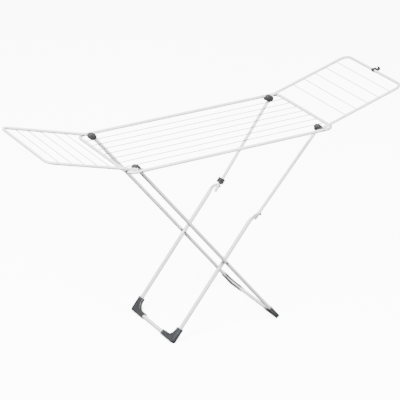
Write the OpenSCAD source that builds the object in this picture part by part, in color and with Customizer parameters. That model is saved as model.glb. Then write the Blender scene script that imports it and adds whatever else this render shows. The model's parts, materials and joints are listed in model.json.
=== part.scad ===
// Folding clothes drying rack: a wired panel with two wings, on a crossed pair of tube legs.
// X runs along the panel, Y across it and Z up, from the floor under the middle of the rack.

/* [Panel] */
// Length of the panel, between the axes of its end bars
panel_len = 1132; // [1124:1:1180]
// Width of the panel, between the axes of its side rails
panel_w = 530; // [530:0.5:540]
// Height of the panel's tube axes above the floor
panel_h = 985; // [975:1:995]
// Diameter of the panel's tube
panel_tube_d = 15; // [14.5:0.1:15.2]
// Bend radius of the panel's corners
panel_bend = 42; // [36:1:46]
// Number of wires along the panel
panel_wires = 7; // [3:2:7]
// Distance between two panel wires
panel_pitch = 61.7; // [50:0.1:62]

/* [Wings] */
// Distance from a wing's hinge to its outer bar
wing_reach = 492; // [485:0.5:494]
// Angle of an open wing above the horizontal
wing_rise = 16; // [16:0.5:20]
// Distance from the rack's middle to the axis of a wing's arm
wing_arm_y = 246; // [245.5:0.1:246.2]
// Diameter of a wing's tube
wing_tube_d = 14; // [13:0.1:14]
// Bend radius of a wing's corners
wing_bend = 40; // [34:1:46]
// Number of wires across a wing
wing_wires = 5; // [3:1:5]
// Distance from the outer bar to the first wire
wing_first_gap = 71; // [60:1:72]
// Distance between two wing wires
wing_pitch = 67.4; // [55:0.1:68]

/* [Legs] */
// Distance from the rack's middle to the hinges on the panel's rails
pin_x = 503; // [500:0.5:505]
// Where the outer leg's axis meets the floor
outer_foot_x = 291; // [285:1:297]
// Where the inner leg's axis meets the floor, left of the middle
inner_foot_x = 312; // [306:1:318]
// Distance from the rack's middle to an outer leg tube
outer_leg_y = 221.5; // [221:0.1:222]
// Distance from the rack's middle to an inner leg tube
inner_leg_y = 197; // [196.5:0.1:197]
// Diameter of the outer leg's tube
outer_tube_d = 18; // [17:0.1:18]
// Diameter of the inner leg's tube
inner_tube_d = 20; // [19:0.1:20]
// Diameter of the two upper leg tubes
upper_tube_d = 16; // [15:0.1:16]
// Distance from the inner leg's axis to the upper tubes' axes
upper_offset = 27; // [26.5:0.1:28]
// Distance from the crossing to the knee, along the inner leg
knee_s = 287.4; // [287:0.1:288]
// Bend radius of the legs' corners
leg_bend = 60; // [50:1:64]

/* [Hardware] */
// Diameter of the wires
wire_d = 3.5; // [3:0.1:4]
// Diameter of the hinge pins and rivets
pin_d = 6; // [5:0.1:6]
// Radial gap between a pin and its bore
pin_gap = 0.05; // [0.02:0.01:0.08]
// Wall thickness of every tube
wall = 1; // [0.8:0.1:1.4]
// Length of the lock collar
collar_len = 30; // [24:1:33]

/* [Hidden] */
$fn = 64;
bore_d = pin_d + 2 * pin_gap;
rail_y = panel_w / 2;
panel_mid_y = rail_y - panel_bend;

// The fold's plane, as [x, z]: hinges, the points where the legs meet the floor, and the crossing
left_pin = [-pin_x, panel_h];
right_pin = [pin_x, panel_h];
inner_foot = [-inner_foot_x, 0];
outer_angle = atan2(panel_h, outer_foot_x + pin_x);
inner_angle = atan2(panel_h, pin_x + inner_foot_x) + asin(upper_offset / norm(right_pin - inner_foot));
outer_dir = [cos(outer_angle), -sin(outer_angle)];
inner_dir = [cos(inner_angle), sin(inner_angle)];
crossing = inner_foot
    + cross(left_pin - inner_foot, outer_dir) / cross(inner_dir, outer_dir) * inner_dir;
outer_cross = norm(crossing - left_pin);

// Length of each leg down to its foot bar, whose axis is a tube's radius and a sole above the floor
outer_sole = 3.5;
inner_sole = 3;
outer_bar_z = outer_tube_d / 2 + outer_sole;
inner_bar_z = inner_tube_d / 2 + inner_sole;
outer_len = (panel_h - outer_bar_z) / sin(outer_angle);
inner_len = (crossing[1] - inner_bar_z) / sin(inner_angle);

// Knuckles, which cap the tops of the legs. A tube's end stands above its hinge, inside the cap.
boss_r = 16;
tube_over = 10;
outer_boss = [210.5, 237.5];
upper_boss = [214.5, 237.5];
arm_stub = 22;
arm_cap_r = 8;

// Upper leg tubes: they splay outwards from the knee to the hinge
upper_len = (right_pin - crossing) * inner_dir - knee_s;
upper_top_y = 226;
upper_shift = 1.8;
knee_y = 194;
splay = atan((upper_top_y - knee_y) / upper_len);
tail = 32;
tail_cap = 4;

// Knee plate, on the outer face of the inner leg, and the crossing's spacer and rivet
plate_y = 203.4;
plate_t = 3;
plate_start = 205;
plate_tip_r = 9;
inner_tube_top = 240;
spacer_y = [207.3, 212.2];
cross_head_y = [184.2, 233];

// Corner boots on the foot bars
boot_wall = 3;
boot_web = 6;
boot_side = 2.8;
boot_corner_r = 13;
boot_leg_arm = 69;
boot_bar_arm = 100;

// Hook on the right wing: it reaches the left wing's bar when both wings are folded
wing_slack = 1.6;
hook_reach = 2 * (wing_reach * cos(wing_slack) - pin_x);
hook_w = 24;
clip_r = 10;
recess_r = 7.6;
recess_wall = 3.2;

// The whole rack is shifted so that its box, from the left wing to the hook, is centred
hook_tip = wing_reach - hook_reach + recess_r + recess_wall;
wing_tip = wing_reach * cos(wing_rise) + wing_tube_d / 2;
centre_x = -(hook_tip * cos(wing_rise) - wing_tip) / 2;

sides = ["front", "back"];

function side_sign(side) = side == "front" ? -1 : 1;

// Round bar along X
module rod_x(x0, x1, d) {
    translate([x0, 0, 0])
        rotate([0, 90, 0])
            cylinder(h = x1 - x0, d = d);
}

// Round bar along Y
module rod_y(y0, y1, d) {
    translate([0, y0, 0])
        rotate([-90, 0, 0])
            cylinder(h = y1 - y0, d = d);
}

// Quarter bend from +X to +Y round the origin
module bend(r, d) {
    rotate_extrude(angle = 90)
        translate([r, 0])
            circle(d = d);
}

// U of round bar: two arms along X and a bar across their far ends
module u_bar(len, half_w, r, d, start) {
    for (side = [-1, 1])
        translate([0, side * half_w, 0])
            rod_x(start, len - r, d);
    translate([len - r, half_w - r, 0])
        bend(r, d);
    translate([len - r, r - half_w, 0])
        rotate([0, 0, -90])
            bend(r, d);
    translate([len, 0, 0])
        rod_y(r - half_w, half_w - r, d);
}

// U of tube with open ends
module u_tube(len, half_w, r, d, start) {
    difference() {
        u_bar(len, half_w, r, d, start);
        u_bar(len, half_w, r, d - 2 * wall, start - 1);
    }
}

// Closed ring of round bar, in the panel's shape
module panel_ring(d) {
    for (end = [0, 180])
        rotate([0, 0, end])
            u_bar(panel_len / 2, rail_y, panel_bend, d, 0);
}

module on_side(sign) {
    if (sign > 0)
        children();
    else
        mirror([0, 1, 0]) children();
}

module on_both_sides() {
    children();
    mirror([0, 1, 0]) children();
}

module centred() {
    translate([centre_x, 0, 0])
        children();
}

// Frames of the moving parts. X runs down a leg, or out along a wing.
module at_left_pin() {
    centred()
        translate([left_pin[0], 0, left_pin[1]])
            rotate([0, outer_angle, 0])
                children();
}

module at_right_pin() {
    centred()
        translate([right_pin[0], 0, right_pin[1]])
            rotate([0, 180 - inner_angle, 0])
                children();
}

module at_crossing() {
    centred()
        translate([crossing[0], 0, crossing[1]])
            rotate([0, 180 - inner_angle, 0])
                children();
}

module at_knee() {
    at_crossing()
        translate([-knee_s, 0, upper_offset])
            children();
}

// The splayed tube's own frame, beside the knee, on the back side
module at_upper_tube() {
    at_knee()
        translate([0, knee_y, -upper_shift])
            rotate([0, 0, -splay])
                children();
}

module at_wing(side) {
    centred()
        mirror([side == "left" ? 1 : 0, 0, 0])
            translate([pin_x, 0, panel_h])
                rotate([0, -wing_rise, 0])
                    children();
}

module panel_frame() {
    color("white")
        centred()
            translate([0, 0, panel_h])
                difference() {
                    panel_ring(panel_tube_d);
                    panel_ring(panel_tube_d - 2 * wall);
                    for (x = [-pin_x, pin_x])
                        translate([x, 0, 0])
                            rod_y(-rail_y - panel_tube_d, rail_y + panel_tube_d, bore_d);
                }
}

module panel_wire(i) {
    y = (i - (panel_wires + 1) / 2) * panel_pitch;
    color("white")
        centred()
            translate([0, 0, panel_h])
                difference() {
                    translate([0, y, 0])
                        rod_x(-panel_len / 2, panel_len / 2, wire_d);
                    for (x = [-panel_len / 2, panel_len / 2])
                        translate([x, 0, 0])
                            rod_y(-panel_mid_y, panel_mid_y, panel_tube_d);
                }
}

module wing_frame(side) {
    color("white")
        at_wing(side)
            difference() {
                u_tube(wing_reach, wing_arm_y, wing_bend, wing_tube_d, -arm_stub);
                rod_y(-rail_y, rail_y, bore_d);
            }
}

module wing_wire(side, i) {
    color("white")
        at_wing(side)
            translate([wing_reach - wing_first_gap - (i - 1) * wing_pitch, 0, 0])
                difference() {
                    rod_y(-wing_arm_y, wing_arm_y, wire_d);
                    for (y = [-wing_arm_y, wing_arm_y])
                        translate([0, y, 0])
                            rod_x(-wing_tube_d, wing_tube_d, wing_tube_d);
                }
}

// Dark caps over the inner ends of a wing's arms, with the hinge pin through them
module wing_arm_caps(side) {
    over = 10;
    end = 2;
    color("dimgray")
        at_wing(side)
            on_both_sides()
                difference() {
                    translate([0, wing_arm_y, 0])
                        difference() {
                            rod_x(-arm_stub - end, over, 2 * arm_cap_r);
                            rod_x(-arm_stub, over + 1, wing_tube_d);
                        }
                    rod_y(wing_arm_y / 2, rail_y, bore_d);
                }
}

// Outline of the hook, as [outwards, up]: a C beside the clip, open at its top
module hook_outline() {
    mouth_w = 2 * recess_r - 0.8;
    neck_low = -8;
    neck_high = -1;
    circle(r = clip_r);
    rotate(wing_slack)
        difference() {
            union() {
                translate([-hook_reach, 0])
                    circle(r = recess_r + recess_wall);
                translate([0, neck_low])
                    square([-hook_reach, neck_high - neck_low]);
            }
            translate([-hook_reach, 0])
                circle(r = recess_r);
            translate([-hook_reach - mouth_w / 2, 0])
                square([mouth_w, 2 * clip_r]);
        }
}

// Clip round the right wing's outer bar, with a C-shaped recess that takes the left wing's bar
module wing_hook() {
    color("dimgray")
        at_wing("right")
            translate([wing_reach, 0, 0])
                difference() {
                    translate([0, hook_w / 2, 0])
                        rotate([90, 0, 0])
                            linear_extrude(height = hook_w)
                                hook_outline();
                    rod_y(-hook_w, hook_w, wing_tube_d + 2 * pin_gap);
                }
}

module outer_leg_frame() {
    color("white")
        at_left_pin()
            difference() {
                u_tube(outer_len, outer_leg_y, leg_bend, outer_tube_d, -tube_over);
                rod_y(-rail_y, rail_y, bore_d);
                translate([outer_cross, 0, 0])
                    rod_y(-rail_y, rail_y, bore_d);
            }
}

// Outline of the knee plate, as [distance up the inner leg, offset towards the upper tube]
module knee_outline() {
    half = inner_tube_d / 2 - 1;
    ear = half - 4;
    neck = half + 2;
    polygon([
        [plate_start, -half],
        [inner_tube_top + ear, -half],
        [knee_s - 4, 1 - ear],
        [knee_s + plate_tip_r - 3, ear + 1],
        [knee_s + plate_tip_r, upper_offset],
        [knee_s - plate_tip_r, upper_offset],
        [knee_s - plate_tip_r - 3.5, neck],
        [inner_tube_top, half],
        [plate_start, half]
    ]);
    translate([knee_s, upper_offset])
        circle(r = plate_tip_r);
}

module inner_leg_frame() {
    color("white")
        at_crossing()
            difference() {
                union() {
                    difference() {
                        u_bar(inner_len, inner_leg_y, leg_bend, inner_tube_d, -inner_tube_top);
                        u_bar(inner_len, inner_leg_y, leg_bend, inner_tube_d - 2 * wall,
                            wall - inner_tube_top);
                    }
                    on_both_sides()
                        translate([0, plate_y + plate_t, 0])
                            rotate([90, 0, 0])
                                linear_extrude(height = plate_t)
                                    mirror([1, 0])
                                        knee_outline();
                }
                rod_y(-rail_y, rail_y, bore_d);
                translate([-knee_s, 0, upper_offset])
                    rod_y(-rail_y, rail_y, bore_d);
            }
}

module upper_leg_tube(side) {
    color("white")
        on_side(side_sign(side))
            difference() {
                at_upper_tube()
                    difference() {
                        rod_x(-tube_over - upper_len / cos(splay), tail, upper_tube_d);
                        rod_x(-2 * upper_len, tail + 1, upper_tube_d - 2 * wall);
                    }
                at_knee()
                    rod_y(knee_y - upper_tube_d, knee_y + upper_tube_d, bore_d);
                at_right_pin()
                    rod_y(rail_y / 2, rail_y, bore_d);
            }
}

module upper_leg_plug(side) {
    stem = 10;
    color("dimgray")
        on_side(side_sign(side))
            at_upper_tube() {
                rod_x(tail, tail + tail_cap, upper_tube_d);
                rod_x(tail - stem, tail, upper_tube_d - 2 * wall);
            }
}

// Outline of a knuckle, as [down the leg, along its normal]: a boss at the hinge joined to a lobe
// beside it, and a socket down the leg from side to side
module knuckle_outline(lobe, lobe_r, down, sides) {
    join = 0.95 * lobe_r;
    across = [-lobe[1], lobe[0]] / norm(lobe) * join;
    circle(r = boss_r);
    translate(lobe)
        circle(r = lobe_r);
    polygon([across, lobe + across, lobe - across, -across]);
    translate([0, sides[0]])
        square([down, sides[1] - sides[0]]);
}

module knuckle(boss, lobe, lobe_r, down, sides) {
    translate([0, boss[1], 0])
        rotate([90, 0, 0])
            linear_extrude(height = boss[1] - boss[0])
                knuckle_outline(lobe, lobe_r, down, sides);
}

module outer_leg_knuckle(side) {
    color("dimgray")
        on_side(side_sign(side))
            at_left_pin()
                difference() {
                    knuckle(outer_boss, [-9, -5], 15.5, 14, [-12.5, 12]);
                    rod_y(rail_y / 2, rail_y, bore_d);
                    translate([0, outer_leg_y, 0])
                        rod_x(-tube_over, 2 * boss_r, outer_tube_d);
                }
}

module upper_leg_knuckle(side) {
    color("dimgray")
        on_side(side_sign(side))
            difference() {
                at_right_pin()
                    difference() {
                        knuckle(upper_boss, [1, -11], 14, 20, [-15, 7]);
                        rod_y(rail_y / 2, rail_y, bore_d);
                    }
                at_upper_tube()
                    rod_x(-tube_over - upper_len / cos(splay), 0, upper_tube_d);
            }
}

// Boot's outline round a bent tube, with the origin where the two tube axes would meet
module boot_outline(outer, inner) {
    span = leg_bend + outer;
    translate([-boot_leg_arm, -inner])
        square([boot_leg_arm - leg_bend, outer + inner]);
    translate([-inner, -boot_bar_arm])
        square([outer + inner, boot_bar_arm - leg_bend]);
    translate([-leg_bend, -leg_bend])
        difference() {
            union() {
                square([span, span - boot_corner_r]);
                square([span - boot_corner_r, span]);
                translate([span - boot_corner_r, span - boot_corner_r])
                    circle(r = boot_corner_r);
            }
            circle(r = leg_bend - inner);
        }
}

// The side of a boot's tube that faces inwards, from the tube's axis on
module channel_outline(inner) {
    translate([-boot_leg_arm - 1, -inner - 1])
        square([boot_leg_arm + 1 - leg_bend, inner + 1]);
    translate([-inner - 1, -boot_bar_arm - 1])
        square([inner + 1, boot_bar_arm + 1 - leg_bend]);
    translate([-leg_bend, -leg_bend])
        intersection() {
            circle(r = leg_bend);
            square(leg_bend);
        }
}

// Boot over a leg's bent corner. A channel along its inner side shows the tube.
module boot(len, half_w, d) {
    lip = 3;
    inner = d / 2 + boot_web;
    difference() {
        translate([len, half_w, 0])
            linear_extrude(height = d + 2 * boot_side, center = true)
                boot_outline(d / 2 + boot_wall, inner);
        translate([len, half_w, 0])
            linear_extrude(height = d - 2 * lip, center = true)
                channel_outline(inner);
        u_bar(len, half_w, leg_bend, d, 0);
    }
}

module above_floor() {
    floor_cut = 2 * panel_len;
    difference() {
        children();
        translate([-floor_cut / 2, -floor_cut / 2, -boot_bar_arm])
            cube([floor_cut, floor_cut, boot_bar_arm]);
    }
}

module outer_foot(side) {
    color("dimgray")
        on_side(side_sign(side))
            above_floor()
                at_left_pin()
                    boot(outer_len, outer_leg_y, outer_tube_d);
}

module inner_foot(side) {
    color("dimgray")
        on_side(side_sign(side))
            above_floor()
                at_crossing()
                    boot(inner_len, inner_leg_y, inner_tube_d);
}

// The left pins pass through the outer leg's knuckles; the right ones end short of the upper legs'
module corner_pins() {
    head_d = 8;
    head_t = 2.2;
    inset = 1.5;
    open_gap = 0.6;
    face_y = rail_y + panel_tube_d / 2;
    ends = [[-pin_x, outer_boss[0] + inset], [pin_x, wing_arm_y - arm_cap_r + open_gap]];
    color("dimgray")
        centred()
            for (end = ends)
                on_both_sides()
                    translate([end[0], 0, panel_h]) {
                        rod_y(end[1], face_y, pin_d);
                        rod_y(face_y, face_y + head_t, head_d);
                    }
}

module hinge_washers() {
    washer_d = 13;
    play = 0.35;
    inner_y = wing_arm_y + arm_cap_r + play;
    outer_y = rail_y - panel_tube_d / 2 - play;
    color("silver")
        centred()
            for (x = [-pin_x, pin_x])
                on_both_sides()
                    translate([x, 0, panel_h])
                        difference() {
                            rod_y(inner_y, outer_y, washer_d);
                            rod_y(inner_y - 1, outer_y + 1, bore_d);
                        }
}

module crossing_spacers() {
    spacer_d = 20;
    color("dimgray")
        at_left_pin()
            translate([outer_cross, 0, 0])
                on_both_sides()
                    difference() {
                        rod_y(spacer_y[0], spacer_y[1], spacer_d);
                        rod_y(spacer_y[0] - 1, spacer_y[1] + 1, bore_d);
                    }
}

module crossing_rivets() {
    head_d = 12;
    head_t = 2.4;
    color("silver")
        at_left_pin()
            translate([outer_cross, 0, 0])
                on_both_sides() {
                    rod_y(cross_head_y[0], cross_head_y[1], pin_d);
                    rod_y(cross_head_y[0], cross_head_y[0] + head_t, head_d);
                    rod_y(cross_head_y[1] - head_t, cross_head_y[1], head_d);
                }
}

module knee_rivets() {
    head_d = 11;
    inner_t = 1.8;
    outer_t = 2.2;
    inner_y = knee_y - upper_tube_d / 2 - inner_t - 1;
    outer_y = plate_y + plate_t;
    color("silver")
        at_knee()
            on_both_sides() {
                rod_y(inner_y, outer_y + outer_t, pin_d);
                rod_y(inner_y, inner_y + inner_t, head_d);
                rod_y(outer_y, outer_y + outer_t, head_d);
            }
}

// Collar that slides on the back upper tube, just above the open knee
module lock_collar() {
    start = plate_tip_r + 1.6;
    height = 30;
    depth = 28;
    lean = 3;
    color("dimgray")
        at_upper_tube()
            difference() {
                translate([-start - collar_len, -depth / 2, -height / 2 - lean])
                    cube([collar_len, depth, height]);
                rod_x(-start - collar_len - 1, 1 - start, upper_tube_d + 2 * pin_gap);
            }
}

panel_frame();
for (i = [1:panel_wires])
    panel_wire(i);
for (side = ["left", "right"]) {
    wing_frame(side);
    wing_arm_caps(side);
    for (i = [1:wing_wires])
        wing_wire(side, i);
}
wing_hook();
outer_leg_frame();
inner_leg_frame();
for (side = sides) {
    upper_leg_tube(side);
    upper_leg_plug(side);
    outer_leg_knuckle(side);
    upper_leg_knuckle(side);
    outer_foot(side);
    inner_foot(side);
}
corner_pins();
hinge_washers();
crossing_spacers();
crossing_rivets();
knee_rivets();
lock_collar();
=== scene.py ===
"""Folding clothes drying rack: bent white tubes, welded grey wires and dark moulded plastic fittings.

Shapes are drawn in millimetres, in the frame of the part that they belong to, and placed by a matrix.
In a leg's frame X runs down the leg from its pivot, Y goes to the back and Z is the leg's normal.
"""
import json
import math

import bmesh
import bpy
from mathutils import Matrix, Vector


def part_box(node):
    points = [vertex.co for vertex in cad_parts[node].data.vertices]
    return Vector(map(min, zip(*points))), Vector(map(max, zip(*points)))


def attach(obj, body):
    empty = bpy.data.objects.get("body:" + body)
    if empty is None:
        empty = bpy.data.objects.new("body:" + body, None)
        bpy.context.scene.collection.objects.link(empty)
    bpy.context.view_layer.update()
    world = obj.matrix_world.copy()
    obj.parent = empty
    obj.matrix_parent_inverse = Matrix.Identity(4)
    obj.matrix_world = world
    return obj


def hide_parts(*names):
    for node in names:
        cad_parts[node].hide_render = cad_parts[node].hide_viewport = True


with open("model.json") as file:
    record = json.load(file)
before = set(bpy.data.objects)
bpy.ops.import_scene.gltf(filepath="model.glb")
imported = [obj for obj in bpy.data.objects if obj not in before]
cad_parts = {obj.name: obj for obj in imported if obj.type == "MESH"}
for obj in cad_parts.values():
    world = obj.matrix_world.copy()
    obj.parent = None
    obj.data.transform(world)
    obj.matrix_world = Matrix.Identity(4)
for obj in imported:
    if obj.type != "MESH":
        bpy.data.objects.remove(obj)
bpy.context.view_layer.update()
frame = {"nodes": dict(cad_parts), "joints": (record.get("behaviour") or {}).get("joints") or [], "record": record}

MM = 0.001
JOINTS = {j["name"]: j for j in frame["joints"]}
SIDES = {"front": -1, "back": 1}


def pivot(joint):
    """Where a joint turns, in metres."""
    return Vector(JOINTS[joint]["pos_m"])


# Camera
CAMERA_AT = (-4.8676, -8.3528, 4.9431)
CAMERA_YAW = 29.99
CAMERA_PITCH = 24.09
CAMERA_LENS = 193.6

# Tubes: diameters, bends and the arms' ends
PANEL_TUBE = 15.0
PANEL_BEND = 42.0
WING_TUBE = 14.0
WING_BEND = 40.0
WING_STUB = 22.0
OUTER_TUBE = 18.0
INNER_TUBE = 20.0
UPPER_TUBE = 16.0
LEG_BEND = 60.0

# Half widths of the bent frames, from the middle to the tube's axis
WING_HALF = 246.0
OUTER_HALF = 221.5
INNER_HALF = 197.0

# Hardware
PIN_R = 3.0
RAIL_FACE = 272.5
BOSS_R = 16.0
ARM_CAP_R = 8.0
OUTER_BOSS = (210.5, 237.5)
UPPER_BOSS = (214.5, 237.5)
UPPER_OFFSET = 27.0
PLATE_MID_Y = 204.9
HOOK_W = 24.0

# The thin end of a weld fillet, a little wider than the wire it closes on
WELD_NECK = 4.1

# Edges sharper than this are shaded as edges, in degrees
SHARP_ANGLE = 40.0


# ---------------------------------------------------------------- materials


class Nodes:
    """A material's node tree, with short ways to add and link nodes."""

    def __init__(self, name):
        self.material = bpy.data.materials.new(name)
        self.material.use_nodes = True
        self.tree = self.material.node_tree
        self.shader = self.tree.nodes["Principled BSDF"]
        self.coords = self.tree.nodes.new("ShaderNodeTexCoord").outputs["Object"]

    def link(self, source, target):
        self.tree.links.new(source, target)

    def noise(self, scale, detail=3.0, roughness=0.5, stretch=None):
        node = self.tree.nodes.new("ShaderNodeTexNoise")
        node.inputs["Scale"].default_value = scale
        node.inputs["Detail"].default_value = detail
        node.inputs["Roughness"].default_value = roughness
        coords = self.coords
        if stretch:
            mapping = self.tree.nodes.new("ShaderNodeMapping")
            mapping.inputs["Scale"].default_value = stretch
            self.link(coords, mapping.inputs["Vector"])
            coords = mapping.outputs["Vector"]
        self.link(coords, node.inputs["Vector"])
        return node.outputs["Fac"]

    def ramp(self, source, stops):
        node = self.tree.nodes.new("ShaderNodeValToRGB")
        for element, (position, colour) in zip(node.color_ramp.elements, stops):
            element.position = position
            element.color = (*colour, 1)
        self.link(source, node.inputs["Fac"])
        return node.outputs["Color"]

    def spread(self, source, low, high):
        node = self.tree.nodes.new("ShaderNodeMapRange")
        node.inputs["To Min"].default_value = low
        node.inputs["To Max"].default_value = high
        self.link(source, node.inputs["Value"])
        return node.outputs["Result"]

    def mix(self, factor, first, second):
        node = self.tree.nodes.new("ShaderNodeMix")
        node.data_type = "RGBA"
        self.link(factor, node.inputs["Factor"])
        for socket, value in ((node.inputs[6], first), (node.inputs[7], second)):
            if isinstance(value, tuple):
                socket.default_value = (*value, 1)
            else:
                self.link(value, socket)
        return node.outputs[2]

    def edges(self, low, high):
        """1 on the convex edges, where handling rubs, and 0 on the flats."""
        geometry = self.tree.nodes.new("ShaderNodeNewGeometry")
        node = self.tree.nodes.new("ShaderNodeMapRange")
        node.inputs["From Min"].default_value = low
        node.inputs["From Max"].default_value = high
        self.link(geometry.outputs["Pointiness"], node.inputs["Value"])
        return node.outputs["Result"]

    def bump(self, height, strength, distance, under=None):
        node = self.tree.nodes.new("ShaderNodeBump")
        node.inputs["Strength"].default_value = strength
        node.inputs["Distance"].default_value = distance
        self.link(height, node.inputs["Height"])
        if under:
            self.link(under, node.inputs["Normal"])
        return node.outputs["Normal"]


def powder_coat(name, colour, shade, roughness):
    """Powder coating: orange peel, faint clouding and slightly dulled patches."""
    n = Nodes(name)
    clouds = n.noise(9.0, detail=4.0)
    n.link(n.ramp(clouds, [(0.3, shade), (0.7, colour)]), n.shader.inputs["Base Color"])
    patches = n.noise(40.0, detail=5.0)
    n.link(n.spread(patches, roughness - 0.06, roughness + 0.1), n.shader.inputs["Roughness"])
    peel = n.bump(n.noise(650.0, detail=2.0), 0.25, 0.00008)
    n.link(n.bump(n.noise(2600.0, detail=1.0), 0.12, 0.00003, under=peel), n.shader.inputs["Normal"])
    n.shader.inputs["Coat Weight"].default_value = 0.12
    n.shader.inputs["Coat Roughness"].default_value = 0.2
    return n.material


def moulded_plastic(name, colour, grain, roughness):
    """Moulded plastic: a fine spark-eroded grain, flow clouding and edges rubbed paler."""
    n = Nodes(name)
    dark = tuple(0.86 * c for c in colour)
    worn = tuple(1.9 * c for c in colour)
    base = n.ramp(n.noise(60.0, detail=5.0), [(0.3, dark), (0.7, colour)])
    n.link(n.mix(n.edges(0.53, 0.6), base, worn), n.shader.inputs["Base Color"])
    n.link(n.spread(n.noise(180.0, detail=4.0), roughness - 0.08, roughness + 0.1),
           n.shader.inputs["Roughness"])
    n.shader.inputs["Specular IOR Level"].default_value = 0.25
    flow = n.bump(n.noise(120.0, detail=2.0), 0.15, 0.0002)
    n.link(n.bump(n.noise(grain, detail=2.0), 0.4, 0.00008, under=flow), n.shader.inputs["Normal"])
    return n.material


def plated_steel(name):
    """Dark zinc-plated steel, lightly scratched round the rivet."""
    n = Nodes(name)
    n.shader.inputs["Metallic"].default_value = 1.0
    clouds = n.noise(300.0, detail=5.0)
    n.link(n.ramp(clouds, [(0.3, (0.16, 0.16, 0.165)), (0.7, (0.26, 0.26, 0.255))]),
           n.shader.inputs["Base Color"])
    scratches = n.noise(500.0, detail=3.0, stretch=(6.0, 1.0, 6.0))
    n.link(n.spread(scratches, 0.3, 0.5), n.shader.inputs["Roughness"])
    n.link(n.bump(scratches, 0.2, 0.00005), n.shader.inputs["Normal"])
    return n.material


FLOOR_GLOW = 9.0


def studio_floor(name):
    """A white floor lit through from below, like a light table, so that it stays paler than the rack."""
    n = Nodes(name)
    n.link(n.ramp(n.noise(1.2), [(0.2, (0.86, 0.86, 0.86)), (0.8, (0.89, 0.89, 0.885))]),
           n.shader.inputs["Base Color"])
    n.shader.inputs["Roughness"].default_value = 0.75
    n.shader.inputs["Specular IOR Level"].default_value = 0.2
    n.shader.inputs["Emission Color"].default_value = (1, 1, 1, 1)
    n.shader.inputs["Emission Strength"].default_value = FLOOR_GLOW
    return n.material


WHITE = powder_coat("white_coating", (0.74, 0.74, 0.735), (0.7, 0.7, 0.7), 0.4)
# The wires' colour is painted near black, far darker than their pale grey coat: painted shade that keeps the thin
# wires dark against the glowing floor.
WIRE_COAT_PAINTED_SHADE = powder_coat("wire_coating", (0.085, 0.085, 0.085), (0.075, 0.075, 0.077), 0.45)
DARK = moulded_plastic("dark_plastic", (0.034, 0.0345, 0.036), 1400.0, 0.55)
FOOT = moulded_plastic("foot_plastic", (0.03, 0.0305, 0.032), 1100.0, 0.6)
WHITE_PLASTIC = moulded_plastic("white_plastic", (0.62, 0.62, 0.61), 1500.0, 0.5)
STEEL = plated_steel("plated_steel")
SLOTS = {
    "panel_coating": WHITE,
    "wing_coating": WHITE,
    "leg_coating": WHITE,
    "wire_coating": WIRE_COAT_PAINTED_SHADE,
    "dark_plastic": DARK,
    "foot_plastic": FOOT,
    "white_plastic": WHITE_PLASTIC,
    "steel": STEEL,
}


def paint_cad_nodes():
    """Finishes for the CAD's own solids, which show where no piece stands in for them."""
    for part in frame["record"]["subparts"]:
        mesh = frame["nodes"][part["node"]].data
        mesh.materials.clear()
        mesh.materials.append(SLOTS[part["material_slot"]])


# ---------------------------------------------------------------- placements


def mm_matrix(origin, x_axis, z_axis):
    """A frame in millimetres at a point in metres, with Y completed from X and Z."""
    x, z = Vector(x_axis).normalized(), Vector(z_axis).normalized()
    y = z.cross(x)
    columns = [MM * x, MM * y, MM * z, Vector(origin)]
    return Matrix([[c[i] for c in columns] for i in range(3)] + [[0, 0, 0, 1]])


def tilted(origin, angle):
    """A frame whose X axis points down at that angle, in radians, in the plane of the fold."""
    c, s = math.cos(angle), math.sin(angle)
    return mm_matrix(origin, (c, 0, -s), (s, 0, c))


def reach_mm(joint_a, joint_b):
    """The distance between two joints, in millimetres."""
    return (pivot(joint_b) - pivot(joint_a)).length / MM


HIP = pivot("fold")
CROSSING = pivot("scissor")
KNEE = pivot("knee_back")
RIGHT_PIN = pivot("right_wing_hinge")
SLIDE = Vector(JOINTS["collar_slide"]["axis"])
OUTER_ANGLE = math.atan2(HIP.z - CROSSING.z, CROSSING.x - HIP.x)
INNER_ANGLE = math.atan2(SLIDE.z, SLIDE.x)
SPLAY = math.asin(SLIDE.y)
WING_RISE = math.atan2(pivot("hook_swivel").z - RIGHT_PIN.z, pivot("hook_swivel").x - RIGHT_PIN.x)
WING_REACH = reach_mm("right_wing_hinge", "hook_swivel")
CROSS_X = (CROSSING - HIP).length / MM
KNEE_X = -math.sqrt(((KNEE - CROSSING).length / MM) ** 2 - UPPER_OFFSET ** 2)

AT_HIP = tilted(HIP, OUTER_ANGLE)
AT_CROSSING = tilted(CROSSING, math.pi - INNER_ANGLE)
AT_KNEE = tilted(KNEE, math.pi - INNER_ANGLE)
AT_RIGHT_PIN = tilted(RIGHT_PIN, math.pi - INNER_ANGLE)
AT_WING = {
    "right": tilted(RIGHT_PIN, -WING_RISE),
    "left": tilted(HIP, math.pi + WING_RISE) @ Matrix.Scale(-1, 4, (0, 0, 1)),
}
PANEL_MID = (HIP + RIGHT_PIN) / 2
AT_PANEL = mm_matrix(PANEL_MID, (1, 0, 0), (0, 0, 1))
PANEL_HALF_LEN = (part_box("panel_frame")[1].x - PANEL_MID.x) / MM - PANEL_TUBE / 2
PANEL_HALF_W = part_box("panel_frame")[1].y / MM - PANEL_TUBE / 2
KNEE_Y = 194.0
UPPER_SHIFT = 1.8
OUTER_SOLE = 3.5
INNER_SOLE = 3.0
OUTER_LEN = (HIP.z / MM - OUTER_TUBE / 2 - OUTER_SOLE) / math.sin(OUTER_ANGLE)
INNER_LEN = (CROSSING.z / MM - INNER_TUBE / 2 - INNER_SOLE) / math.sin(INNER_ANGLE)


def upper_tube_matrix(side):
    """The splayed upper tube's frame at the knee: X runs down it."""
    sign = SIDES[side]
    turn = Matrix.Rotation(-SPLAY * sign, 4, "Z")
    return AT_KNEE @ Matrix.Translation((0, sign * KNEE_Y, -UPPER_SHIFT)) @ turn


def mirrored(side):
    """Takes a shape drawn for the back side to the side asked for."""
    return Matrix.Scale(SIDES[side], 4, (0, 1, 0))


# ---------------------------------------------------------------- shapes


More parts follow.
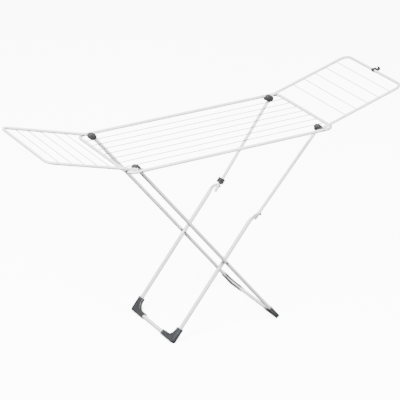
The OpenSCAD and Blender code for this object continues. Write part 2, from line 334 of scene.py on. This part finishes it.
def arc(cx, cy, r, start, end, steps=8):
    """Points round an arc, with its ends, at angles in degrees from the first axis."""
    angles = [math.radians(start + (end - start) * i / steps) for i in range(steps + 1)]
    return [(cx + r * math.cos(a), cy + r * math.sin(a)) for a in angles]


def loft(bm, loops, ring=False):
    """Skins loops of points. With ring=True the last loop joins the first, else both ends are capped."""
    rings = [[bm.verts.new(p) for p in loop] for loop in loops]
    pairs = list(zip(rings, rings[1:]))
    if ring:
        pairs.append((rings[-1], rings[0]))
    for a, b in pairs:
        for i, vertex in enumerate(a):
            j = (i + 1) % len(a)
            bm.faces.new((vertex, a[j], b[j], b[i]))
    if not ring:
        bm.faces.new(rings[0][::-1])
        bm.faces.new(rings[-1])


def oval(centre, side, up, a, b, steps=28):
    """A loop of an ellipse with half axes a along side and b along up."""
    turn = 2 * math.pi / steps
    return [Vector(centre) + a * math.cos(i * turn) * side + b * math.sin(i * turn) * up
            for i in range(steps)]


def finish_piece(name, bm, matrix, slot, body, stands_for=()):
    """Makes a shape one visible piece, with its finish, its body and the CAD nodes that it stands for."""
    bm.transform(matrix)
    bmesh.ops.recalc_face_normals(bm, faces=bm.faces)
    mesh = bpy.data.meshes.new(name)
    bm.to_mesh(mesh)
    bm.free()
    mesh.polygons.foreach_set("use_smooth", [True] * len(mesh.polygons))
    mesh.set_sharp_from_angle(angle=math.radians(SHARP_ANGLE))
    mesh.materials.append(SLOTS[slot])
    piece = bpy.data.objects.new(name, mesh)
    bpy.context.scene.collection.objects.link(piece)
    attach(piece, body)
    if stands_for:
        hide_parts(*stands_for)
    return piece


def bent_path(length, half_w, r, start):
    """Stations round a U, from the front arm to the back arm: a point and the outward side."""
    steps = 14
    stations = [(Vector((start, -half_w, 0)), Vector((0, -1, 0)))]
    for centre_y, first in ((r - half_w, -90), (half_w - r, 0)):
        for i in range(steps + 1):
            a = math.radians(first + 90 * i / steps)
            side = Vector((math.cos(a), math.sin(a), 0))
            stations.append((Vector((length - r, centre_y, 0)) + r * side, side))
    stations.append((Vector((start, half_w, 0)), Vector((0, 1, 0))))
    return stations


UP = Vector((0, 0, 1))


def panel_frame():
    """The panel's closed ring of tube."""
    bm = bmesh.new()
    half = bent_path(PANEL_HALF_LEN, PANEL_HALF_W, PANEL_BEND, 0)[1:-1]
    turn = Matrix.Rotation(math.pi, 3, "Z")
    turned = [(turn @ p, turn @ s) for p, s in half]
    loops = [oval(p, s, UP, PANEL_TUBE / 2, PANEL_TUBE / 2) for p, s in half + turned]
    loft(bm, loops, ring=True)
    finish_piece("panel_tube", bm, AT_PANEL, "panel_coating", "panel", ["panel_frame"])


def wing_frame(side):
    bm = bmesh.new()
    stations = bent_path(WING_REACH, WING_HALF, WING_BEND, -WING_STUB)
    loft(bm, [oval(p, s, UP, WING_TUBE / 2, WING_TUBE / 2) for p, s in stations])
    finish_piece(f"{side}_wing_tube", bm, AT_WING[side], "wing_coating", f"{side}_wing",
                 [f"wing_frame_{side}"])


def outer_leg_frame():
    bm = bmesh.new()
    tube_over = 10.0
    stations = bent_path(OUTER_LEN, OUTER_HALF, LEG_BEND, -tube_over)
    loft(bm, [oval(p, s, UP, OUTER_TUBE / 2, OUTER_TUBE / 2) for p, s in stations])
    finish_piece("outer_leg_tube", bm, AT_HIP, "leg_coating", "outer_leg", ["outer_leg_frame"])


def ear_stations(sign):
    """The inner leg's top end, flattened and cranked over to the knee, from the nose down to the tube.

    Each station is (centre, side, up, half thickness along side, half width along up).
    """
    start, elbow = -226.0, -282.0
    steps = 18
    nose = 8.8
    flat = 1.5
    squeezed_by, bulge_ends = 0.42, 0.8
    bulge, taper = 0.6, 2.2
    side = Vector((0, sign, 0))
    first, middle, last = Vector((start, 0, 0)), Vector((elbow, 0, 0)), Vector((KNEE_X, 0, UPPER_OFFSET))
    stations = []
    for i in range(steps + 1):
        t = i / steps
        p = (1 - t) ** 2 * first + 2 * t * (1 - t) * middle + t ** 2 * last
        along = ((1 - t) * (middle - first) + t * (last - middle)).normalized()
        up = Vector((along.z, 0, -along.x))
        squeeze = min(1.0, t / squeezed_by)
        squeeze = squeeze * squeeze * (3 - 2 * squeeze)
        p.y = sign * (INNER_HALF + (PLATE_MID_Y - INNER_HALF) * squeeze)
        thick = INNER_TUBE / 2 + (flat - INNER_TUBE / 2) * squeeze
        swell = math.sin(math.pi * min(1.0, t / bulge_ends))
        wide = INNER_TUBE / 2 + bulge * swell - taper * t * t
        stations.append((p, side, up, thick, wide))
    tip, _, up, thick, wide = stations[-1]
    along = (last - middle).normalized()
    for angle in (20, 40, 60, 75, 86):
        a = math.radians(angle)
        p = tip + along * nose * math.sin(a)
        stations.append((p, side, up, thick, wide * math.cos(a)))
    return stations[::-1]


def inner_leg_frame():
    bm = bmesh.new()
    loops = [oval(*s) for s in ear_stations(-1)]
    stations = bent_path(INNER_LEN, INNER_HALF, LEG_BEND, 0)[1:-1]
    loops += [oval(p, s, UP, INNER_TUBE / 2, INNER_TUBE / 2) for p, s in stations]
    loops += [oval(*s) for s in ear_stations(1)[::-1]]
    loft(bm, loops)
    finish_piece("inner_leg_tube", bm, AT_CROSSING, "leg_coating", "inner_leg", ["inner_leg_frame"])


# Flat mouldings with rounded edges


def slab_mesh(outlines, thickness, edge):
    """A bmesh of closed outlines, extruded and rounded along both rims. Inner outlines are holes."""
    curve = bpy.data.curves.new("slab", "CURVE")
    curve.dimensions = "2D"
    curve.fill_mode = "BOTH"
    curve.extrude = thickness / 2 - edge
    curve.bevel_depth = edge
    curve.bevel_resolution = 2
    curve.offset = -edge
    for outline in outlines:
        spline = curve.splines.new("POLY")
        spline.points.add(len(outline) - 1)
        for point, (x, y) in zip(spline.points, outline):
            point.co = (x, y, 0, 1)
        spline.use_cyclic_u = True
    holder = bpy.data.objects.new("slab", curve)
    bpy.context.scene.collection.objects.link(holder)
    graph = bpy.context.evaluated_depsgraph_get()
    mesh = bpy.data.meshes.new_from_object(holder.evaluated_get(graph))
    bpy.data.objects.remove(holder)
    bm = bmesh.new()
    bm.from_mesh(mesh)
    bmesh.ops.remove_doubles(bm, verts=bm.verts, dist=0.01)
    return bm


# Stands an outline drawn in X and Y up in the plane of X and Z
STAND_UP = Matrix(((1, 0, 0, 0), (0, 0, -1, 0), (0, 1, 0, 0), (0, 0, 0, 1)))


def hull_outline(circles, steps=64):
    """The outline stretched round circles given as (x, y, r)."""
    points = []
    for i in range(steps):
        a = 2 * math.pi * i / steps
        c, s = math.cos(a), math.sin(a)
        x, y, r = max(circles, key=lambda circle: circle[0] * c + circle[1] * s + circle[2])
        points.append((x + r * c, y + r * s))
    return points


def knuckle(name, matrix, side, lobe, socket, y_range, body, stands_for):
    """The moulded cap on a leg's top: a boss and a lobe beside it, with a raised hub outside."""
    low, high = y_range
    hub_proud, hub_depth, hub_step = 0.8, 6.0, 4.0
    depth = high - low - hub_proud
    down, first, last = socket
    corner, edge = 3.0, 2.4
    outlines = (
        hull_outline([(0, 0, BOSS_R), lobe]),
        hull_outline([(0, first + corner, corner), (0, last - corner, corner),
                      (down - corner, first + corner, corner), (down - corner, last - corner, corner)]),
    )
    bm = bmesh.new()
    for outline, shrink in zip(outlines, (0.0, 0.3)):
        part = slab_mesh([outline], depth - 2 * shrink, edge)
        part.transform(Matrix.Translation((0, 0, -(low + high - hub_proud) / 2)))
        merge(bm, part)
    hub = slab_mesh([arc(0, 0, BOSS_R - hub_step, 0, 350, 35)], hub_depth, 0.8)
    hub.transform(Matrix.Translation((0, 0, hub_depth / 2 - high)))
    merge(bm, hub)
    finish_piece(name, bm, matrix @ mirrored(side) @ STAND_UP, "dark_plastic", body, stands_for)


def box_outline(x0, x1, y0, y1):
    return [(x0, y0), (x1, y0), (x1, y1), (x0, y1)]


def merge(bm, other):
    """Adds a second bmesh to the first."""
    mesh = bpy.data.meshes.new("part")
    other.to_mesh(mesh)
    other.free()
    bm.from_mesh(mesh)


def hook():
    """The swivelling hook: a clip round one wing's bar and a recess for the other's."""
    slack = math.radians(1.6)
    reach = 2 * ((RIGHT_PIN.x - PANEL_MID.x) / MM - WING_REACH * math.cos(slack))
    clip_in, clip_out = 7.05, 10.0
    recess_in, recess_out = 7.6, 10.8
    mouth = 7.2
    neck_low, neck_high = -8.0, -1.0
    lip_out = math.degrees(math.acos(mouth / recess_out))
    lip_in = math.degrees(math.acos(mouth / recess_in))
    join_clip = (math.degrees(math.asin(neck_low / clip_out)), math.degrees(math.asin(neck_high / clip_out)))
    join_low = 180 - math.degrees(math.asin(neck_low / recess_out))
    join_high = 180 - math.degrees(math.asin(neck_high / recess_out))
    outline = arc(0, 0, clip_out, join_clip[1], 360 + join_clip[0], 40)
    outline += arc(reach, 0, recess_out, join_low, 360 + lip_out, 30)
    outline += arc(reach, 0, recess_in, lip_in, -180 - lip_in, 30)
    outline += arc(reach, 0, recess_out, 180 - lip_out, join_high, 5)
    bore = arc(0, 0, clip_in, 0, 350, 35)
    bm = slab_mesh([outline, bore], HOOK_W, 0.7)
    thumb_half, thumb_low, thumb_high, thumb_share = 5.0, 9.2, 11.4, 0.6
    thumb_outline = box_outline(-thumb_half, thumb_half, thumb_low, thumb_high)
    thumb = slab_mesh([thumb_outline], HOOK_W * thumb_share, 0.8)
    merge(bm, thumb)
    tilt = Matrix.Rotation(-slack, 4, "Y")
    place = AT_WING["right"] @ Matrix.Translation((WING_REACH, 0, 0)) @ tilt @ STAND_UP
    finish_piece("wing_hook_moulding", bm, place, "dark_plastic", "hook", ["wing_hook"])


def rounded_box_loop(x, half_y, half_z, corner, steps=10):
    """A loop round a rectangle with rounded corners, across the X axis."""
    points = []
    for sy, sz, first in ((1, 1, 0), (-1, 1, 90), (-1, -1, 180), (1, -1, 270)):
        centre = (sy * (half_y - corner), sz * (half_z - corner))
        points += arc(*centre, corner, first, first + 90, steps)
    return [Vector((x, y, z)) for y, z in points]


def lock_collar():
    """The collar that slides down over the knee, with grip grooves round it."""
    near, length = 12.6, 28.0
    half_y, half_z, corner = 14.0, 15.0, 4.0
    lean = Matrix.Translation((0, 0, -3))
    groove, pitch, count = 0.35, 4.2, 4
    groove_top, groove_floor = 1.1, 0.6
    bore = UPPER_TUBE / 2 + 0.1
    bevel, lead_in = 0.9, 0.8
    stations = [(0.0, bevel), (bevel, 0.0)]
    first = (length - (count - 1) * pitch) / 2
    for i in range(count):
        middle = first + i * pitch
        stations += [(middle - groove_top, 0.0), (middle - groove_floor, groove)]
        stations += [(middle + groove_floor, groove), (middle + groove_top, 0.0)]
    stations += [(length - bevel, 0.0), (length, bevel)]
    loops = [[lean @ p for p in rounded_box_loop(-near - x, half_y - d, half_z - d, corner)]
             for x, d in stations]
    flat = [math.atan2(p.z, p.y) for p in loops[0]]
    for x, r in ((length, bore + lead_in), (length - lead_in, bore), (lead_in, bore), (0.0, bore + lead_in)):
        loops.append([Vector((-near - x, r * math.cos(a), r * math.sin(a))) for a in flat])
    bm = bmesh.new()
    loft(bm, loops, ring=True)
    finish_piece("lock_collar_moulding", bm, upper_tube_matrix("back"), "dark_plastic", "collar",
                 ["lock_collar"])


def lathe(bm, profile, centre=(0, 0, 0), axis="Y"):
    """Turns a profile of (distance along the axis, radius) round that axis."""
    across = {"X": (Vector((0, 1, 0)), Vector((0, 0, 1))), "Y": (Vector((0, 0, 1)), Vector((1, 0, 0)))}
    along = {"X": Vector((1, 0, 0)), "Y": Vector((0, 1, 0))}[axis]
    loops = [oval(Vector(centre) + d * along, *across[axis], r, r) for d, r in profile]
    loft(bm, loops)


def dome(face, direction, r, height):
    """Profile of a domed rivet head that stands on a face, with a dimple in its crown."""
    rise = [(0.0, 1.0), (0.25, 0.99), (0.55, 0.9), (0.8, 0.72), (0.95, 0.5), (1.0, 0.34),
            (0.75, 0.22), (0.7, 0.05)]
    return [(face + direction * height * h, r * w) for h, w in rise]


def rivet(bm, centre, low, high, head_r, low_head=0.0, high_head=0.0):
    """A shaft along Y from low to high. A head height above 0 puts a dome on that end."""
    profile = dome(low, -1, head_r, low_head)[::-1] if low_head else [(low, PIN_R)]
    profile += [(low, PIN_R)] if low_head else []
    profile += [(high, PIN_R)]
    profile += dome(high, 1, head_r, high_head) if high_head else []
    lathe(bm, profile, centre)


# Corner boots, drawn with the origin where the axes of the leg and of the foot bar would meet

BOOT_LEG_ARM = 69.0
BOOT_BAR_ARM = 100.0
BOOT_CORNER = 13.0
BOOT_TIP = -1.0
# Past the tube: outside the bend, inside it, and to each side
BOOT_BACK, BOOT_FRONT, BOOT_SIDE = 3.0, 6.0, 2.8
# How far each flange reaches over the tube, which leaves a slit between them
BOOT_LIP = 5.5


def boot_back_outline(outer):
    """The boot outside the tube's axis, which closes it round the outer side of the bend."""
    tip = BOOT_TIP
    points = [(-BOOT_LEG_ARM, tip), (-BOOT_LEG_ARM, outer)]
    points += arc(outer - BOOT_CORNER, outer - BOOT_CORNER, BOOT_CORNER, 90, 0, 10)
    points += [(outer, -BOOT_BAR_ARM), (tip, -BOOT_BAR_ARM)]
    return points + arc(-LEG_BEND, -LEG_BEND, LEG_BEND + tip, 0, 90, 14)


def boot_flange_outline(inner):
    """A flange beside the channel, from the tube's axis to the boot's inner edge."""
    overlap = 4.0
    return ([(-BOOT_LEG_ARM, overlap)] + arc(-LEG_BEND, -LEG_BEND, LEG_BEND + overlap, 90, 0, 14)
            + [(overlap, -BOOT_BAR_ARM), (-inner, -BOOT_BAR_ARM)]
            + arc(-LEG_BEND, -LEG_BEND, LEG_BEND - inner, 0, 90, 14) + [(-BOOT_LEG_ARM, -inner)])


def stand_on_floor(bm):
    """Cuts a shape flat at the floor and closes the cut."""
    everything = bm.verts[:] + bm.edges[:] + bm.faces[:]
    bmesh.ops.bisect_plane(bm, geom=everything, plane_co=(0, 0, 0), plane_no=(0, 0, 1), clear_inner=True)
    open_edges = [e for e in bm.edges if e.is_boundary]
    bmesh.ops.triangle_fill(bm, edges=open_edges, use_beauty=True)


def boot(name, matrix, length, half_w, tube, side, body, stands_for):
    """A moulded boot over the leg's corner, cut flat where it stands on the floor."""
    outer, inner, half = tube / 2 + BOOT_BACK, tube / 2 + BOOT_FRONT, tube / 2 + BOOT_SIDE
    slit = tube / 2 - BOOT_LIP
    inset = 0.15
    rim, rim_length = 0.5, 4.5
    layers = [(boot_back_outline(outer), 2 * half, 2.6, 0.0)]
    flange, middle = half - slit - inset, (half + slit - inset) / 2
    layers += [(boot_flange_outline(inner), flange, 1.2, sign * middle) for sign in (-1, 1)]
    rims = (box_outline(-BOOT_LEG_ARM - rim, rim_length - BOOT_LEG_ARM, BOOT_TIP, outer + rim),
            box_outline(BOOT_TIP, outer + rim, -BOOT_BAR_ARM - rim, rim_length - BOOT_BAR_ARM))
    layers += [(outline, 2 * half + 2 * rim, 1.6, 0.0) for outline in rims]
    place = matrix @ mirrored(side) @ Matrix.Translation((length, half_w, 0))
    bm = bmesh.new()
    for outline, thickness, edge, z in layers:
        part = slab_mesh([outline], thickness, edge)
        part.transform(place @ Matrix.Translation((0, 0, z)))
        stand_on_floor(part)
        merge(bm, part)
    finish_piece(name, bm, Matrix(), "foot_plastic", body, stands_for)


def both_sides(bm, draw):
    """Draws a shape for the back side, and again mirrored for the front."""
    for side in SIDES:
        part = bmesh.new()
        draw(part)
        part.transform(mirrored(side))
        merge(bm, part)


def rivets():
    """The pins and rivets. The right pins end short of the upper knuckles, like the CAD's."""
    bm = bmesh.new()
    half = (RIGHT_PIN.x - PANEL_MID.x) / MM
    left_end, right_end = 212.0, 238.6
    for x, end in ((-half, left_end), (half, right_end)):
        both_sides(bm, lambda part: rivet(part, (x, 0, 0), end, RAIL_FACE, head_r=4.0, high_head=2.2))
    finish_piece("corner_pin_heads", bm, AT_PANEL, "dark_plastic", "panel", ["corner_pins"])
    bm = bmesh.new()
    low, high = 186.6, 230.5
    place = (CROSS_X, 0, 0)
    both_sides(bm, lambda part: rivet(part, place, low, high, head_r=6.0, low_head=2.4, high_head=2.5))
    finish_piece("crossing_rivet_heads", bm, AT_HIP, "steel", "outer_leg", ["crossing_rivets"])
    bm = bmesh.new()
    low, high = 185.0, 206.4
    both_sides(bm, lambda part: rivet(part, (0, 0, 0), low, high, head_r=5.5, low_head=1.8, high_head=2.2))
    finish_piece("knee_rivet_heads", bm, AT_KNEE, "steel", "inner_leg", ["knee_rivets"])


def upper_plugs():
    """Domed plugs in the lower ends of the upper leg tubes."""
    tail, cap, r = 32.0, 4.0, UPPER_TUBE / 2
    profile = [(tail - 9, r - 1.4), (tail, r - 1.1), (tail, r), (tail + 1.4, r), (tail + 2.8, r - 0.9),
               (tail + 3.6, r - 2.6), (tail + cap, r - 5), (tail + cap, 0.6)]
    for side in SIDES:
        bm = bmesh.new()
        lathe(bm, profile, axis="X")
        finish_piece(f"upper_plug_{side}", bm, upper_tube_matrix(side), "white_plastic",
                     f"upper_leg_{side}", [f"upper_leg_plug_{side}"])


def wing_arm_caps():
    """Dark caps pushed over the inner ends of the wings' arms, with a rim and a domed end."""
    over, r = 10.0, ARM_CAP_R
    end = -WING_STUB
    profile = [(over, WING_TUBE / 2), (over, r - 0.3), (over - 0.5, r), (end + 1.5, r), (end - 0.5, r - 0.6),
               (end - 1.6, r - 2.4), (end - 2, r - 4.5), (end - 2, 0.5)]
    for side in ("left", "right"):
        bm = bmesh.new()
        for y in (-WING_HALF, WING_HALF):
            lathe(bm, profile, (0, y, 0), axis="X")
        finish_piece(f"{side}_arm_caps", bm, AT_WING[side], "dark_plastic", f"{side}_wing",
                     [f"wing_arm_caps_{side}"])


def weld(bm, point, direction, tube):
    """A small weld fillet where a wire meets a tube."""
    r = WELD_NECK / 2
    profile = [(tube / 2 - 1.2, r + 1.7), (tube / 2 - 0.2, r + 1.3), (tube / 2 + 0.7, r + 0.6),
               (tube / 2 + 1.5, r + 0.2), (tube / 2 + 2.3, r + 0.02)]
    side = Vector(direction).cross(UP)
    loops = [oval(Vector(point) + d * Vector(direction), side, UP, w, w, steps=14) for d, w in profile]
    loft(bm, loops)


def wire_place(node, inverse):
    """The middle of a wire in its part's frame, in millimetres."""
    low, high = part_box(node)
    return inverse @ ((low + high) / 2)


def welds():
    bm = bmesh.new()
    inverse = AT_PANEL.inverted()
    for node in sorted(n for n in frame["nodes"] if n.startswith("panel_wire_")):
        y = wire_place(node, inverse).y
        for sign in (-1, 1):
            weld(bm, (sign * PANEL_HALF_LEN, y, 0), (-sign, 0, 0), PANEL_TUBE)
    finish_piece("panel_welds", bm, AT_PANEL, "panel_coating", "panel")
    for side in ("left", "right"):
        bm = bmesh.new()
        inverse = AT_WING[side].inverted()
        for node in sorted(n for n in frame["nodes"] if n.startswith(f"wing_wire_{side}_")):
            x = wire_place(node, inverse).x
            for sign in (-1, 1):
                weld(bm, (x, sign * WING_HALF, 0), (0, -sign, 0), WING_TUBE)
        finish_piece(f"{side}_wing_welds", bm, AT_WING[side], "wing_coating", f"{side}_wing")


def fittings():
    for side in SIDES:
        boot(f"outer_boot_{side}", AT_HIP, OUTER_LEN, OUTER_HALF, OUTER_TUBE, side, "outer_leg",
             [f"outer_foot_{side}"])
        boot(f"inner_boot_{side}", AT_CROSSING, INNER_LEN, INNER_HALF, INNER_TUBE, side, "inner_leg",
             [f"inner_foot_{side}"])
        knuckle(f"outer_knuckle_{side}", AT_HIP, side, (-9, -5, 15.5), (14, -12.5, 12),
                OUTER_BOSS, "outer_leg", [f"outer_leg_knuckle_{side}"])
        knuckle(f"upper_knuckle_{side}", AT_RIGHT_PIN, side, (1, -11, 14), (20, -15, 7),
                UPPER_BOSS, f"upper_leg_{side}", [f"upper_leg_knuckle_{side}"])


# ---------------------------------------------------------------- studio


def camera():
    data = bpy.data.cameras.new("camera")
    data.lens = CAMERA_LENS
    data.sensor_width = 36.0
    data.clip_end = 100.0
    obj = bpy.data.objects.new("camera", data)
    obj.location = CAMERA_AT
    obj.rotation_euler = (math.radians(90 - CAMERA_PITCH), 0, math.radians(-CAMERA_YAW))
    bpy.context.scene.collection.objects.link(obj)
    bpy.context.scene.camera = obj


def area_light(name, at, aim, size, power):
    data = bpy.data.lights.new(name, "AREA")
    data.shape = "DISK"
    data.size = size
    data.energy = power
    obj = bpy.data.objects.new(name, data)
    obj.location = at
    obj.rotation_euler = (Vector(aim) - Vector(at)).to_track_quat("-Z", "Y").to_euler()
    bpy.context.scene.collection.objects.link(obj)


FLOOR_SIZE = 40.0
SKY_STRENGTH = 0.6
BELOW_FLOOR = 0.05


def studio():
    world = bpy.data.worlds.new("studio")
    world.use_nodes = True
    tree = world.node_tree
    background = tree.nodes["Background"]
    background.inputs["Strength"].default_value = SKY_STRENGTH
    height = tree.nodes.new("ShaderNodeSeparateXYZ")
    tree.links.new(tree.nodes.new("ShaderNodeTexCoord").outputs["Generated"], height.inputs["Vector"])
    sky = tree.nodes.new("ShaderNodeValToRGB")
    for element, (position, grey) in zip(sky.color_ramp.elements, ((0.0, BELOW_FLOOR), (0.6, 1.0))):
        element.position = position
        element.color = (grey, grey, grey, 1)
    tree.links.new(height.outputs["Z"], sky.inputs["Fac"])
    tree.links.new(sky.outputs["Color"], background.inputs["Color"])
    bpy.context.scene.world = world
    middle = (0, 0, 0.5)
    area_light("key", (-2.4, -1.6, 5.0), middle, 2.6, 1300)
    area_light("fill", (2.8, -4.6, 1.5), middle, 2.4, 300)
    area_light("rim", (1.0, 3.8, 3.6), middle, 3.0, 80)
    half = FLOOR_SIZE / 2
    corners = [(-half, -half, 0), (half, -half, 0), (half, half, 0), (-half, half, 0)]
    mesh = bpy.data.meshes.new("floor")
    mesh.from_pydata(corners, [], [(0, 1, 2, 3)])
    mesh.materials.append(studio_floor("floor"))
    floor = bpy.data.objects.new("floor", mesh)
    bpy.context.scene.collection.objects.link(floor)
    floor.visible_diffuse = False
    floor.visible_glossy = False


camera()
studio()
paint_cad_nodes()
panel_frame()
wing_frame("left")
wing_frame("right")
outer_leg_frame()
inner_leg_frame()
fittings()
hook()
lock_collar()
rivets()
upper_plugs()
wing_arm_caps()
welds()
